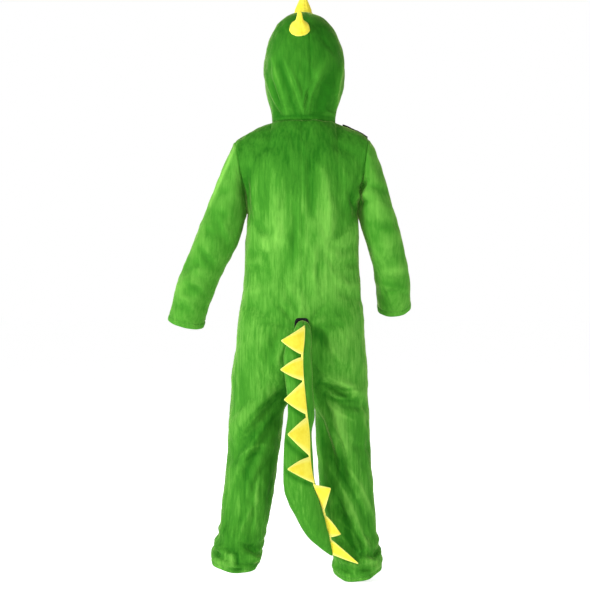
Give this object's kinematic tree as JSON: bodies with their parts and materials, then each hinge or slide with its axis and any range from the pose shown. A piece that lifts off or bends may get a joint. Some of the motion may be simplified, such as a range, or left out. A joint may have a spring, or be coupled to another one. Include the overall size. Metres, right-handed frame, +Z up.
{
  "type": "crocodile costume",
  "caption": "Child's hooded crocodile costume in green velour, hollow as worn, with a stuffed tail, felt spikes, long sleeves and bunched ankles.",
  "frame": {"origin": "middle of the neck at shoulder height, where the wearer's shoulders hold the suit", "axes": "+Z up, the front of the suit faces -Y and the tail hangs at +Y, the wearer's left is +X"},
  "size_m": [0.576, 0.2755, 1.3814],
  "materials": {
    "green_velour": "short pile velour with a brushed nap",
    "yellow_felt": "soft felt",
    "black_tape": "hook and loop tape"
  },
  "bodies": {
    "root": {"back_left": "green_velour", "back_right": "green_velour", "front_left": "green_velour", "front_right": "green_velour", "sleeve_left": "green_velour", "sleeve_right": "green_velour", "hood_left": "green_velour", "hood_right": "green_velour", "tail": "green_velour", "tail_spike_1": "yellow_felt", "tail_spike_2": "yellow_felt", "tail_spike_3": "yellow_felt", "tail_spike_4": "yellow_felt", "tail_spike_5": "yellow_felt", "tail_spike_6": "yellow_felt", "tail_spike_7": "yellow_felt", "tail_spike_8": "yellow_felt", "hood_spike_1": "yellow_felt", "hood_spike_2": "yellow_felt", "tail_tape": "black_tape", "shoulder_tape": "black_tape"}
  },
  "joints": []
}
